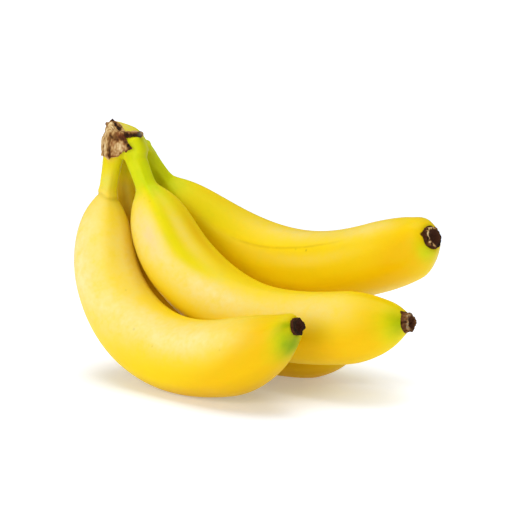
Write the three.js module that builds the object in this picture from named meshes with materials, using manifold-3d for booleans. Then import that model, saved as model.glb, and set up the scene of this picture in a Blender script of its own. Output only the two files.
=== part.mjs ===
// A small hand of four ripe bananas, grown together at a cut crown and lying on its rounded undersides.
// Millimetres, +Z up. Each fruit runs from the crown down its neck, round its bend and up to its dried tip.
import * as THREE from "three";
import { ConvexGeometry } from "three/addons/geometries/ConvexGeometry.js";
import { mergeVertices } from "three/addons/utils/BufferGeometryUtils.js";
import Module from "manifold-3d";

// ---- Driving dimensions ----

// Each fruit bends in one plane. `base` is where its neck leaves the crown, `yaw` is the plane's heading
// and `lean` its tilt from upright, in degrees. The centreline's pitch turns from `pitchStart` to `pitchEnd`
// between the fractions `turnFrom` and `turnTo` of its `length`. `radius` is the fullest half thickness.
// `neck` is the neck's half thickness and `neckLength` its length, and `shoulder` is how fast it swells.
// `slimTop` thins the upper half, or swells it where it is negative. The last `taper` millimetres narrow to
// the tip by the power `taperPower`, and the last `endRounding` close in on the dried end, which is
// `tipRadius` in half thickness and `tipDepth` long. The centre rises towards the inside of the bend: by
// `tipRise` along the taper, by `seatRise` more under the dried end, and by `neckRise` at the neck. `sunk`
// is how far the neck runs up into the crown.
const FRUITS = {
  front: {
    base: [-73.65, 37.8, 112.2], yaw: -41.6, lean: 11, pitchStart: -95.5, pitchEnd: 15.3,
    turnFrom: -0.02, turnTo: 0.83, length: 215.1, radius: 19.1, slimTop: 0.33,
    neck: 4.65, neckLength: 22.5, neckRise: 2.5, shoulder: 11.5, sunk: 3.5,
    taper: 52, taperPower: 0.65, tipRise: 10.6, seatRise: 1.7, endRounding: 3.5,
    tipRadius: 3.9, tipDepth: 2.6,
  },
  middle: {
    base: [-64.4, 34.9, 113.35], yaw: -30.4, lean: 1, pitchStart: -66.6, pitchEnd: 8.5,
    turnFrom: 0.04, turnTo: 0.82, length: 205.9, radius: 18, slimTop: -0.25,
    neck: 5.2, neckLength: 21.5, neckRise: 2.8, shoulder: 16.2, sunk: 3.5,
    taper: 40.4, taperPower: 0.7, tipRise: 0.5, seatRise: 0.85, endRounding: 8.9,
    tipRadius: 5, tipDepth: 3.5,
  },
  back: {
    base: [-57.7, 45.3, 113.05], yaw: -32.9, lean: -29.5, pitchStart: -74.3, pitchEnd: 21.5,
    turnFrom: -0.05, turnTo: 0.8, length: 204.5, radius: 18, slimTop: -0.02,
    neck: 4.6, neckLength: 22, neckRise: -0.3, shoulder: 15.7, sunk: 0,
    taper: 45.3, taperPower: 0.294, tipRise: 0.2, seatRise: 2.7, endRounding: 19.1,
    tipRadius: 5.6, tipDepth: 2.6,
  },
  under: {
    base: [-70.2, 50, 106.85], yaw: -26.3, lean: -5.1, pitchStart: -91, pitchEnd: 0.7,
    turnFrom: -0.05, turnTo: 0.825, length: 197.5, radius: 14.5, slimTop: 0.12,
    neck: 5.6, neckLength: 20, neckRise: 2.6, shoulder: 22, sunk: 3.5,
    taper: 40.4, taperPower: 0.64, tipRise: 7, seatRise: 0.5, endRounding: 10,
    tipRadius: 4.5, tipDepth: 4,
  },
};

const RIDGE_COUNT = 5; // a banana is softly five-sided
const RIDGE_HEIGHT = 0.032; // ridge height as a share of the half thickness
const NECK_FLARE = 0.22; // how much a neck widens where it meets the crown
const FLARE_LENGTH = 6;
const NECK_EASE = 1.2; // how softly the neck turns into the body
const NECK_SETTLE = 45; // stretch over which the neck's sideways shift dies out
const UPPER_SHARE = 0.62; // share of the length that `slimTop` acts on
const FLOOR_BLOCK = { span: 400, depth: 40 };
const PIECE_GAP = 0.3; // clearance between neighbouring pieces
const CUT_GAP_SCALE = 1.4; // a grown hull needs more than the clearance itself

const BLUNT_END = 5.8; // how far short of its full length the skin ends
const END_FULLNESS = 2.6; // 2 would close the skin's end as an ellipse does, and more is blunter
const SEAT_EASE = 14; // the stretch before the dried end over which its seat rises
const TIP_SIDES = 15;
const TIP_RIDGE_HEIGHT = 0.064;
// A dried end is a flared, hollow cup: shares of its depth, each with a share of its half thickness.
const TIP_PROFILE = [[0, 0.95], [0.35, 0.98], [0.7, 1.06], [0.9, 1], [1, 0.8], [0.85, 0.55], [0.5, 0.2]];

const SIDES = 25;
const NECK_RINGS = 9;
const BODY_RINGS = 20;
const END_RINGS = 12;
const SOCKET_RINGS = [1, 3, 6, 9]; // distances along a neck inside the crown
const LONGEST_STEP = 1; // for walking a centreline

// Corners of the living skin on the crown, behind its cut faces.
const CROWN_SKIN_CORNERS = [
  [-72, 41.1, 128.75], [-67.6, 43.1, 127.55], [-64, 44.1, 126.05], [-60.4, 45.1, 124.55],
  [-57.8, 45.1, 121.85], [-56.6, 43.6, 118], [-67, 30.1, 120.85], [-60, 31.1, 120.35],
  [-68, 28.1, 114.35], [-59, 27.6, 113.85], [-56, 31.1, 113.35], [-52.6, 43.1, 112.8],
  [-53.2, 49.1, 112.35], [-63, 54.6, 110.85], [-73, 53.6, 109.15], [-75, 47.1, 109.15],
  [-74, 41.1, 110.35], [-72, 50.6, 121.35], [-65, 52.1, 119.85], [-58, 49.6, 118.85],
];

// Corners of the dried tissue over the faces where the crown was cut.
const CROWN_CUT_CORNERS = [
  [-72.5, 39.1, 129.35], [-75.4, 39.1, 127.35], [-77.9, 39.1, 121.95], [-78.5, 37.1, 116.35],
  [-78.3, 36.1, 110.75], [-73.8, 28.6, 122.55], [-62.4, 26.5, 115.75], [-67.4, 26.9, 111.35],
  [-74.2, 27.5, 110.55], [-77.6, 31.1, 110.75], [-77.2, 46.1, 111.85], [-75.6, 45.6, 123.85],
  [-72.5, 36.1, 110.35],
];

// Corners of the dried lip that runs from the cut faces to the crown's right end.
const CROWN_LIP_CORNERS = [
  [-71.6, 28.5, 123.55], [-71.6, 28.5, 120.55], [-57.6, 30.7, 122.95], [-57.6, 30.7, 119.95],
  [-70, 36.1, 123.95], [-70, 36.1, 120.95], [-57, 41.1, 122.35], [-57, 41.1, 119.95],
];

// ---- Materials ----

const matter = (color, roughness) => new THREE.MeshStandardMaterial({ color, roughness, metalness: 0 });
const ripeSkin = () => matter("#f4cf2f", 0.45);
const greenSkin = () => matter("#c6d02a", 0.5);
const driedTissue = () => matter("#a87a48", 0.85);
const driedTip = () => matter("#3b2c1c", 0.9);

// ---- Solid helpers ----

const wasm = await Module();
wasm.setup();

function toSolid(geometry) {
  const bare = geometry.clone();
  bare.deleteAttribute("normal");
  bare.deleteAttribute("uv");
  const merged = mergeVertices(bare, 1e-4);
  return new wasm.Manifold(new wasm.Mesh({
    numProp: 3,
    vertProperties: new Float32Array(merged.attributes.position.array),
    triVerts: new Uint32Array(merged.index.array),
  }));
}

function toGeometry(solid) {
  const mesh = solid.getMesh();
  const geometry = new THREE.BufferGeometry();
  geometry.setAttribute("position", new THREE.BufferAttribute(new Float32Array(mesh.vertProperties), 3));
  geometry.setIndex(new THREE.BufferAttribute(new Uint32Array(mesh.triVerts), 1));
  geometry.computeVertexNormals();
  return geometry;
}

// Skins a row of equal rings into one closed body, with a fan of triangles over each end.
function loft(rings) {
  const sides = rings[0].length;
  const points = rings.flat();
  const triangles = [];
  for (let ring = 0; ring < rings.length - 1; ring += 1) {
    for (let side = 0; side < sides; side += 1) {
      const a = ring * sides + side;
      const b = ring * sides + ((side + 1) % sides);
      triangles.push(a, b, a + sides, b, b + sides, a + sides);
    }
  }
  for (const last of [false, true]) {
    const ring = last ? rings[rings.length - 1] : rings[0];
    const start = last ? (rings.length - 1) * sides : 0;
    const centre = points.length;
    points.push(ring.reduce((sum, point) => sum.add(point), new THREE.Vector3()).divideScalar(sides));
    for (let side = 0; side < sides; side += 1) {
      const a = start + side;
      const b = start + ((side + 1) % sides);
      triangles.push(...(last ? [a, b, centre] : [b, a, centre]));
    }
  }
  const geometry = new THREE.BufferGeometry();
  geometry.setFromPoints(points);
  geometry.setIndex(triangles);
  geometry.computeVertexNormals();
  return geometry;
}

// A convex body with the given corners, each pushed out from the middle by `grow`.
function hull(corners, grow = 0) {
  const points = corners.map((corner) => new THREE.Vector3(...corner));
  const sum = points.reduce((total, point) => total.add(point), new THREE.Vector3());
  const middle = sum.divideScalar(points.length);
  for (const point of points) {
    const out = point.clone().sub(middle);
    point.addScaledVector(out.normalize(), grow);
  }
  return toSolid(new ConvexGeometry(points));
}

// The biggest body of a solid that a cut has left with loose scraps.
function withoutScraps(solid) {
  return solid.decompose().reduce((best, body) => (body.volume() > best.volume() ? body : best));
}

// ---- One fruit ----

const radians = THREE.MathUtils.degToRad;
const smooth = (value) => THREE.MathUtils.smoothstep(value, 0, 1);

// The plane of the bend: `along` is its level heading, `rise` its upward direction, `across` its normal.
function bendPlane(fruit) {
  const yaw = radians(fruit.yaw);
  const lean = radians(fruit.lean);
  const along = new THREE.Vector3(Math.cos(yaw), Math.sin(yaw), 0);
  const level = new THREE.Vector3(-Math.sin(yaw), Math.cos(yaw), 0);
  const rise = new THREE.Vector3(0, 0, Math.cos(lean)).addScaledVector(level, Math.sin(lean));
  return { along, rise, across: new THREE.Vector3().crossVectors(along, rise) };
}

function pitchAt(fruit, distance) {
  const share = distance / fruit.length;
  const turned = smooth((share - fruit.turnFrom) / (fruit.turnTo - fruit.turnFrom));
  return radians(fruit.pitchStart + (fruit.pitchEnd - fruit.pitchStart) * turned);
}

const skinEnd = (fruit) => fruit.length - BLUNT_END;

function halfThickness(fruit, distance) {
  const pastNeck = Math.log1p(Math.exp((distance - fruit.neckLength) / NECK_EASE)) * NECK_EASE;
  const swell = 1 - Math.exp(-pastNeck / fruit.shoulder);
  const upper = THREE.MathUtils.clamp(1 - distance / (fruit.length * UPPER_SHARE), 0, 1);
  const full = fruit.radius * (1 - fruit.slimTop * upper ** 2);
  const flare = fruit.neck * NECK_FLARE * Math.exp(-Math.max(distance, 0) / FLARE_LENGTH);
  const toTip = THREE.MathUtils.clamp((fruit.length - distance) / fruit.taper, 1e-4, 1);
  const narrowing = Math.sin((Math.PI / 2) * toTip) ** fruit.taperPower;
  const body = (fruit.neck + flare + (full - fruit.neck) * swell) * narrowing;
  const toSeat = THREE.MathUtils.clamp((skinEnd(fruit) - distance) / fruit.endRounding, 0, 1);
  const closing = (1 - (1 - toSeat) ** END_FULLNESS) ** (1 / END_FULLNESS);
  return fruit.tipRadius + (body - fruit.tipRadius) * closing;
}

// How far the section's centre stands off the centreline, towards the inside of the bend.
function standOff(fruit, distance) {
  const toTip = THREE.MathUtils.clamp((fruit.length - distance) / fruit.taper, 0, 1);
  const fromNeck = smooth((distance - fruit.neckLength) / NECK_SETTLE);
  const atSeat = smooth(1 - (skinEnd(fruit) - distance) / SEAT_EASE);
  return fruit.tipRise * (1 - toTip) ** 2 + fruit.neckRise * (1 - fromNeck) + fruit.seatRise * atSeat;
}

// Distances along the fruit at which it has a ring: close together at the neck and the tip.
function ringDistances(fruit) {
  const end = skinEnd(fruit);
  const neckEnd = fruit.neckLength - 3;
  const bodyEnd = fruit.length - fruit.taper * 0.6;
  const stretch = (from, to, count) =>
    Array.from({ length: count }, (_, index) => from + ((to - from) * index) / count);
  const taper = Array.from({ length: END_RINGS }, (_, index) => {
    const share = (index + 1) / END_RINGS;
    return bodyEnd + (end - bodyEnd) * Math.sin((Math.PI / 2) * share);
  });
  return [
    ...stretch(-fruit.sunk, neckEnd, NECK_RINGS / 3),
    ...stretch(neckEnd, neckEnd + 30, NECK_RINGS),
    ...stretch(neckEnd + 30, bodyEnd, BODY_RINGS),
    bodyEnd,
    ...taper,
  ];
}

// Walks the centreline to each distance and returns the frames there.
function framesAlong(fruit, distances) {
  const plane = bendPlane(fruit);
  const point = new THREE.Vector3(...fruit.base);
  let walked = 0;
  const turned = (angle) =>
    plane.along.clone().multiplyScalar(Math.cos(angle)).addScaledVector(plane.rise, Math.sin(angle));
  const pitch = (distance) => pitchAt(fruit, Math.max(distance, 0));
  return distances.map((distance) => {
    const count = Math.ceil(Math.abs(distance - walked) / LONGEST_STEP);
    const step = (distance - walked) / Math.max(count, 1);
    for (let index = 0; index < count; index += 1) {
      point.addScaledVector(turned(pitch(walked + step / 2)), step);
      walked += step;
    }
    const forward = turned(pitch(distance));
    const inward = turned(pitch(distance) + Math.PI / 2);
    const centre = point.clone().addScaledVector(inward, standOff(fruit, Math.max(distance, 0)));
    return { distance, centre, inward, across: plane.across, forward };
  });
}

function ring(frame, radius, ridge, sides) {
  return Array.from({ length: sides }, (_, side) => {
    const angle = (side / sides) * Math.PI * 2;
    const reach = radius * (1 + ridge * Math.cos(RIDGE_COUNT * angle));
    return frame.centre.clone()
      .addScaledVector(frame.inward, reach * Math.cos(angle))
      .addScaledVector(frame.across, reach * Math.sin(angle));
  });
}

function fruitSolid(fruit) {
  const rings = framesAlong(fruit, ringDistances(fruit)).map((frame) =>
    ring(frame, halfThickness(fruit, frame.distance), RIDGE_HEIGHT, SIDES));
  return toSolid(loft(rings));
}

// The neck alone, `grow` fatter all round, for cutting its socket in the crown.
function neckSolid(fruit, grow) {
  const frames = framesAlong(fruit, [-fruit.sunk - grow, ...SOCKET_RINGS]);
  return toSolid(loft(frames.map((frame) => {
    const radius = halfThickness(fruit, frame.distance) + grow / (1 - RIDGE_HEIGHT);
    return ring(frame, radius, RIDGE_HEIGHT, SIDES);
  })));
}

// The dried blossom end, just clear of the skin's end.
function tipSolid(fruit) {
  const [end] = framesAlong(fruit, [skinEnd(fruit)]);
  return toSolid(loft(TIP_PROFILE.map(([forward, share]) => {
    const reach = PIECE_GAP + fruit.tipDepth * forward;
    const centre = end.centre.clone().addScaledVector(end.forward, reach);
    return ring({ ...end, centre }, fruit.tipRadius * share, TIP_RIDGE_HEIGHT, TIP_SIDES);
  })));
}

// ---- Assembly ----

const solids = {};
const names = Object.keys(FRUITS);
for (const name of names) {
  solids[`finger_${name}`] = fruitSolid(FRUITS[name]);
  solids[`tip_${name}`] = tipSolid(FRUITS[name]);
}

// Necks that press on each other inside the crown give way in this order.
const PRESSED_NECKS = [["front", "middle"], ["middle", "back"], ["under", "back"], ["front", "under"]];
for (const [keeps, yields] of PRESSED_NECKS) {
  const fruit = `finger_${yields}`;
  solids[fruit] = solids[fruit].subtract(neckSolid(FRUITS[keeps], PIECE_GAP));
}

const sockets = names.map((name) => neckSolid(FRUITS[name], PIECE_GAP));
const cutSockets = (solid) => sockets.reduce((left, socket) => left.subtract(socket), solid);
const grownSkin = hull(CROWN_SKIN_CORNERS, PIECE_GAP * CUT_GAP_SCALE);
const driedFaces = hull(CROWN_CUT_CORNERS).add(hull(CROWN_LIP_CORNERS)).subtract(grownSkin);
solids.crown = withoutScraps(cutSockets(hull(CROWN_SKIN_CORNERS)));
solids.crown_cut = withoutScraps(cutSockets(driedFaces));

// Everything below the resting plane is pressed flat.
const floorBlock = new THREE.BoxGeometry(FLOOR_BLOCK.span, FLOOR_BLOCK.span, FLOOR_BLOCK.depth);
floorBlock.translate(0, 0, -FLOOR_BLOCK.depth / 2);
const floorSolid = toSolid(floorBlock);
for (const name of ["finger_front", "finger_under"]) {
  solids[name] = solids[name].subtract(floorSolid);
}

const DRESS = { finger: ripeSkin, tip: driedTip, crown: greenSkin, crown_cut: driedTissue };
const bunch = new THREE.Group();
for (const [name, solid] of Object.entries(solids)) {
  const dress = DRESS[name] ?? DRESS[name.split("_")[0]];
  const mesh = new THREE.Mesh(toGeometry(solid), dress());
  mesh.name = name;
  bunch.add(mesh);
}

// The origin is the middle of the bunch's footprint, on the surface it rests on.
const box = new THREE.Box3().setFromObject(bunch);
const middle = box.getCenter(new THREE.Vector3());
bunch.position.set(-middle.x, -middle.y, -box.min.z);

export default bunch;
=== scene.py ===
"""Dresses a small cut hand of ripe bananas: the peels, the dried flower ends and the crown.

Lengths in the classes are millimetres and angles are degrees. Places are given as in the part's own
drawing: +X runs from the crown towards the tips, +Z is up, and the bunch rests on Z = 0. DRAWING_SHIFT
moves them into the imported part's frame.
"""

from __future__ import annotations

import logging
import math
from dataclasses import dataclass
from enum import Enum
from functools import partial
from typing import Any, Sequence

import bmesh
import bpy
import numpy as np
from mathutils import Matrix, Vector

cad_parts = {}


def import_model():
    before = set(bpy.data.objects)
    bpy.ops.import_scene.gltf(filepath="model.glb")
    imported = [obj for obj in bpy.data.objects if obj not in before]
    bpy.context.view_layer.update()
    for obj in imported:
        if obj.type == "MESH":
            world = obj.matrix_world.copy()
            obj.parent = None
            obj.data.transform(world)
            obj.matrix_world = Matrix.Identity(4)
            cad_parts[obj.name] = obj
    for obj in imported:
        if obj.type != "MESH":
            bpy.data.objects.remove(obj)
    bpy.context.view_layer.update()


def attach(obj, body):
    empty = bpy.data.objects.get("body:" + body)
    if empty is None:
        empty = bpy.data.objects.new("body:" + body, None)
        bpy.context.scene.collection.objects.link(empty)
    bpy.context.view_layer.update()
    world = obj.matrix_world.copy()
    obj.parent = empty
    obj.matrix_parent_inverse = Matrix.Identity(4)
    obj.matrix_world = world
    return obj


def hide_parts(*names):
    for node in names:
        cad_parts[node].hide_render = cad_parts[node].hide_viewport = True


LOG = logging.getLogger("bananas")
MM = 0.001
TURN = 2 * math.pi
DRAWING_SHIFT = np.array([0.184, 0.368, 0.0])  # from the part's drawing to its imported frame
Span = tuple[float, float]
Points = Sequence[Sequence[float]]


class Slot(Enum):
    """The material slots."""

    PEEL = "ripe_skin"
    CROWN_SKIN = "green_skin"
    CUT = "dried_tissue"
    TIP = "dried_tip"


# ---- Small tools ----


def linear(colour: str) -> tuple[float, float, float, float]:
    """Turns an sRGB hex colour into linear light.

    Args:
        colour: the colour as "#rrggbb".

    Returns:
        Red, green, blue and an alpha of 1.
    """
    channels = []
    for start in (1, 3, 5):
        value = int(colour[start : start + 2], 16) / 255
        channels.append(value / 12.92 if value <= 0.04045 else ((value + 0.055) / 1.055) ** 2.4)
    return (channels[0], channels[1], channels[2], 1.0)


def smooth(value: np.ndarray | float, start: float = 0.0, end: float = 1.0) -> np.ndarray:
    """Eases from 0 at start to 1 at end, flat outside them.

    Args:
        value: where to read the curve.
        start: where it leaves 0.
        end: where it reaches 1.

    Returns:
        The eased share at each value.
    """
    share = np.clip((np.asarray(value, float) - start) / (end - start), 0, 1)
    return share * share * (3 - 2 * share)


def bump(value: np.ndarray, middle: float, width: float) -> np.ndarray:
    """A bell curve of height 1 that is wide by width to each side of middle."""
    return np.exp(-(((value - middle) / width) ** 2))


def turn_apart(turn: np.ndarray, middle: float) -> np.ndarray:
    """The signed angle from middle to turn in degrees, from -180 to 180."""
    return (turn - middle + 180) % 360 - 180


def add_node(
    tree: bpy.types.NodeTree, kind: str, inputs: dict[int | str, Any] | None = None, **settings: Any
) -> Any:
    """Adds a node with its settings and links.

    Args:
        tree: the material's or world's node tree.
        kind: the node's type, without the leading ShaderNode.
        inputs: for each input, by name or number, a value or the output socket to link.
        settings: the node's own properties.

    Returns:
        The new node.
    """
    node = tree.nodes.new("ShaderNode" + kind)
    for name, value in settings.items():
        setattr(node, name, value)
    for key, value in (inputs or {}).items():
        if isinstance(value, bpy.types.NodeSocket):
            tree.links.new(value, node.inputs[key])
        else:
            node.inputs[key].default_value = value
    return node


def bare_material(name: str) -> tuple[Any, Any]:
    """Makes a material with an empty node tree.

    Args:
        name: the material's name.

    Returns:
        The material, and add_node for its tree.
    """
    material = bpy.data.materials.new(name)
    material.use_nodes = True
    material.node_tree.nodes.clear()
    return material, partial(add_node, material.node_tree)


class Ripple:
    """A smooth random field in space, made of plane waves of like length."""

    SPREAD = (0.75, 1.35)  # each wave's length beside the usual one
    LEVEL = 0.8  # keeps the field mostly between -1 and 1

    def __init__(
        self, seed: int, wavelength: float, waves: int = 20, squash: Sequence[float] = (1, 1, 1)
    ) -> None:
        """Draws the waves.

        Args:
            seed: which field to draw.
            wavelength: the usual distance from crest to crest, in millimetres.
            waves: how many plane waves to add up.
            squash: how much shorter the waves are along each axis.
        """
        draw = np.random.default_rng(seed)
        direction = draw.normal(size=(waves, 3))
        direction /= np.linalg.norm(direction, axis=1)[:, None]
        length = wavelength * draw.uniform(*self.SPREAD, (waves, 1))
        self.vectors = TURN * direction / length * np.asarray(squash, float)
        self.phases = draw.uniform(0, TURN, waves)

    def at(self, points: np.ndarray) -> np.ndarray:
        """The field at each point, mostly between -1 and 1."""
        waves = np.cos(points @ self.vectors.T + self.phases)
        return waves.sum(axis=-1) / math.sqrt(len(self.phases)) * self.LEVEL


def make_object(
    name: str, points: np.ndarray, faces: Sequence[Sequence[int]], marks: dict[str, np.ndarray]
) -> Any:
    """Makes a smooth-shaded mesh object.

    Args:
        name: the piece's name.
        points: its vertices in the drawing.
        faces: the vertex numbers of each face.
        marks: for each attribute, one number or one vector per vertex.

    Returns:
        The new object, linked to the scene.
    """
    mesh = bpy.data.meshes.new(name)
    places = (points + DRAWING_SHIFT) * MM
    mesh.from_pydata(places.tolist(), [], [list(map(int, face)) for face in faces])
    for key, values in marks.items():
        kind, slot = ("FLOAT_VECTOR", "vector") if values.ndim == 2 else ("FLOAT", "value")
        attribute = mesh.attributes.new(key, kind, "POINT")
        attribute.data.foreach_set(slot, np.ascontiguousarray(values, np.float32).ravel())
    mesh.polygons.foreach_set("use_smooth", [True] * len(mesh.polygons))
    mesh.update()
    piece = bpy.data.objects.new(name, mesh)
    bpy.context.scene.collection.objects.link(piece)
    return piece


def place(piece: Any, material: Any, node: str, slot: Slot) -> None:
    """Dresses a piece and lets it stand for its CAD node.

    Args:
        piece: the piece's object.
        material: what it is made of.
        node: the CAD node that it stands for.
        slot: the slot for its material; not used.
    """
    piece.data.materials.append(material)
    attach(piece, "root")
    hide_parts(node)
    LOG.info("%s: %d faces", piece.name, len(piece.data.polygons))


def tube_faces(rings: int, sides: int) -> list[list[int]]:
    """Makes the faces of a closed tube.

    Args:
        rings: how many rings of vertices the tube has. They come first, ring by ring.
        sides: how many vertices a ring has. The first and the last cap's middle follow them.

    Returns:
        Each face's vertex numbers.
    """
    faces = []
    for ring in range(rings - 1):
        for side in range(sides):
            a, b = ring * sides + side, ring * sides + (side + 1) % sides
            faces.append([a, b, b + sides, a + sides])
    first, last = rings * sides, rings * sides + 1
    for side in range(sides):
        after = (side + 1) % sides
        faces.append([after, side, first])
        faces.append([(rings - 1) * sides + side, (rings - 1) * sides + after, last])
    return faces


# ---- How a banana grows ----


@dataclass(frozen=True)
class Growth:
    """One banana's bend and thickness, with the same values as the part's own source."""

    base: tuple[float, float, float]
    yaw: float
    lean: float
    pitch_start: float
    pitch_end: float
    turn_from: float
    turn_to: float
    length: float
    radius: float
    neck: float
    neck_length: float
    shoulder: float
    slim_top: float
    taper: float
    tip_rise: float
    sunk: float
    neck_rise: float
    taper_power: float
    seat_rise: float
    end_rounding: float
    tip_radius: float
    tip_depth: float

    blunt_end: float = 5.8
    end_fullness: float = 2.6
    seat_ease: float = 14.0
    neck_flare: float = 0.22
    flare_length: float = 6.0
    neck_ease: float = 1.2
    neck_settle: float = 45.0
    upper_share: float = 0.62
    walk_step: float = 0.25
    walk_margin: float = 12.0

    @property
    def skin_end(self) -> float:
        """The distance at which the peel meets the dried flower end."""
        return self.length - self.blunt_end

    def half_thickness(self, run: np.ndarray) -> np.ndarray:
        """Works out how thick the fruit is.

        Args:
            run: distances along the fruit.

        Returns:
            The section's half thickness at each distance.
        """
        run = np.asarray(run, float)
        past_neck = np.logaddexp(0, (run - self.neck_length) / self.neck_ease) * self.neck_ease
        swell = 1 - np.exp(-past_neck / self.shoulder)
        upper = np.clip(1 - run / (self.length * self.upper_share), 0, 1)
        full = self.radius * (1 - self.slim_top * upper**2)
        flare = self.neck * self.neck_flare * np.exp(-np.maximum(run, 0) / self.flare_length)
        to_tip = np.clip((self.length - run) / self.taper, 1e-4, 1)
        narrowing = np.sin(math.pi / 2 * to_tip) ** self.taper_power
        body = (self.neck + flare + (full - self.neck) * swell) * narrowing
        to_seat = np.clip((self.skin_end - run) / self.end_rounding, 0, 1)
        closing = (1 - (1 - to_seat) ** self.end_fullness) ** (1 / self.end_fullness)
        return self.tip_radius + (body - self.tip_radius) * closing

    def pitch(self, run: np.ndarray) -> np.ndarray:
        """The centreline's angle above the level at each distance, in radians."""
        turned = smooth(np.maximum(run, 0) / self.length, self.turn_from, self.turn_to)
        return np.radians(self.pitch_start + (self.pitch_end - self.pitch_start) * turned)

    def stations(self, runs: np.ndarray) -> dict[str, np.ndarray]:
        """The section planes at each distance.

        Args:
            runs: distances along the fruit.

        Returns:
            The middles, and the inward, across and forward directions there.
        """
        yaw, lean = math.radians(self.yaw), math.radians(self.lean)
        along = np.array([math.cos(yaw), math.sin(yaw), 0])
        level = np.array([-math.sin(yaw), math.cos(yaw), 0])
        rise = np.array([0, 0, math.cos(lean)]) + level * math.sin(lean)
        across = np.cross(along, rise)
        step = self.walk_step
        walk = np.arange(-self.walk_margin, self.length + self.walk_margin, step)
        middle = self.pitch(walk[:-1] + step / 2)[:, None]
        hops = (along * np.cos(middle) + rise * np.sin(middle)) * step
        path = np.vstack([np.zeros(3), np.cumsum(hops, axis=0)])
        path += np.asarray(self.base) - path[int(round(self.walk_margin / step))]
        point = np.stack([np.interp(runs, walk, path[:, axis]) for axis in range(3)], axis=1)
        angle = self.pitch(runs)[:, None]
        forward = along * np.cos(angle) + rise * np.sin(angle)
        inward = rise * np.cos(angle) - along * np.sin(angle)
        reach = np.maximum(runs, 0)
        to_tip = np.clip((self.length - reach) / self.taper, 0, 1)
        settled = smooth((reach - self.neck_length) / self.neck_settle)
        off = self.tip_rise * (1 - to_tip) ** 2 + self.neck_rise * (1 - settled)
        off = off + self.seat_rise * smooth(reach, self.skin_end - self.seat_ease, self.skin_end)
        return {
            "middle": point + inward * off[:, None],
            "inward": inward,
            "across": np.broadcast_to(across, inward.shape),
            "forward": forward,
        }


GROWTHS = {
    "front": Growth(
        base=(-73.65, 37.8, 112.2), yaw=-41.6, lean=11, pitch_start=-95.5, pitch_end=15.3, turn_from=-0.02,
        turn_to=0.83, length=215.1, radius=19.1, slim_top=0.33, neck=4.65, neck_length=22.5, neck_rise=2.5,
        shoulder=11.5, sunk=3.5, taper=52, taper_power=0.65, tip_rise=10.6, seat_rise=1.7, end_rounding=3.5,
        tip_radius=3.9, tip_depth=2.6,
    ),
    "middle": Growth(
        base=(-64.4, 34.9, 113.35), yaw=-30.4, lean=1, pitch_start=-66.6, pitch_end=8.5, turn_from=0.04,
        turn_to=0.82, length=205.9, radius=18, slim_top=-0.25, neck=5.2, neck_length=21.5, neck_rise=2.8,
        shoulder=16.2, sunk=3.5, taper=40.4, taper_power=0.7, tip_rise=0.5, seat_rise=0.85, end_rounding=8.9,
        tip_radius=5, tip_depth=3.5,
    ),
    "back": Growth(
        base=(-57.7, 45.3, 113.05), yaw=-32.9, lean=-29.5, pitch_start=-74.3, pitch_end=21.5, turn_from=-0.05,
        turn_to=0.8, length=204.5, radius=18, slim_top=-0.02, neck=4.6, neck_length=22, neck_rise=-0.3,
        shoulder=15.7, sunk=0, taper=45.3, taper_power=0.294, tip_rise=0.2, seat_rise=2.7, end_rounding=19.1,
        tip_radius=5.6, tip_depth=2.6,
    ),
    "under": Growth(
        base=(-70.2, 50, 106.85), yaw=-26.3, lean=-5.1, pitch_start=-91, pitch_end=0.7, turn_from=-0.05,
        turn_to=0.825, length=197.5, radius=14.5, slim_top=0.12, neck=5.6, neck_length=20, neck_rise=2.6,
        shoulder=22, sunk=3.5, taper=40.4, taper_power=0.64, tip_rise=7, seat_rise=0.5, end_rounding=10,
        tip_radius=4.5, tip_depth=4,
    ),
}


# ---- The crown's form ----


def hull_planes(corners: Points) -> np.ndarray:
    """The face planes of the corners' convex hull.

    Args:
        corners: points in millimetres.

    Returns:
        One row per face: its outward normal and its distance from the origin.
    """
    shape = bmesh.new()
    for corner in corners:
        shape.verts.new(corner)
    bmesh.ops.convex_hull(shape, input=shape.verts)
    middle = sum((Vector(corner) for corner in corners), Vector()) / len(corners)
    planes = []
    for face in shape.faces:
        face.normal_update()
        normal = face.normal.copy()
        if normal.dot(face.verts[0].co - middle) < 0:
            normal.negate()
        planes.append([*normal, normal.dot(face.verts[0].co)])
    shape.free()
    return np.array(planes)


def rounded_hull(points: np.ndarray, planes: np.ndarray, rounding: float) -> np.ndarray:
    """Measures how far points are from a convex hull with rounded edges.

    Args:
        points: places in millimetres.
        planes: the hull's face planes, from hull_planes.
        rounding: about how round the edges are.

    Returns:
        The distance of each point, negative inside.
    """
    reach = points @ planes[:, :3].T - planes[:, 3]
    peak = reach.max(axis=-1)
    return peak + rounding * np.log(np.exp((reach - peak[..., None]) / rounding).sum(axis=-1))


def blend_union(first: np.ndarray, second: np.ndarray, fillet: float) -> np.ndarray:
    """The union of two fields of distances, with a fillet of about the given size between them."""
    share = np.clip(0.5 + 0.5 * (second - first) / fillet, 0, 1)
    return second * (1 - share) + first * share - fillet * share * (1 - share)


def segment_distance(points: np.ndarray, start: Sequence[float], end: Sequence[float]) -> np.ndarray:
    """Measures how far points are from a straight line.

    Args:
        points: places in millimetres.
        start: where the line starts.
        end: where it ends.

    Returns:
        The distance of each point.
    """
    start, along = np.asarray(start, float), np.asarray(end, float) - np.asarray(start, float)
    share = np.clip((points - start) @ along / max(along @ along, 1e-9), 0, 1)
    return np.linalg.norm(points - start - share[:, None] * along, axis=1)


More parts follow.
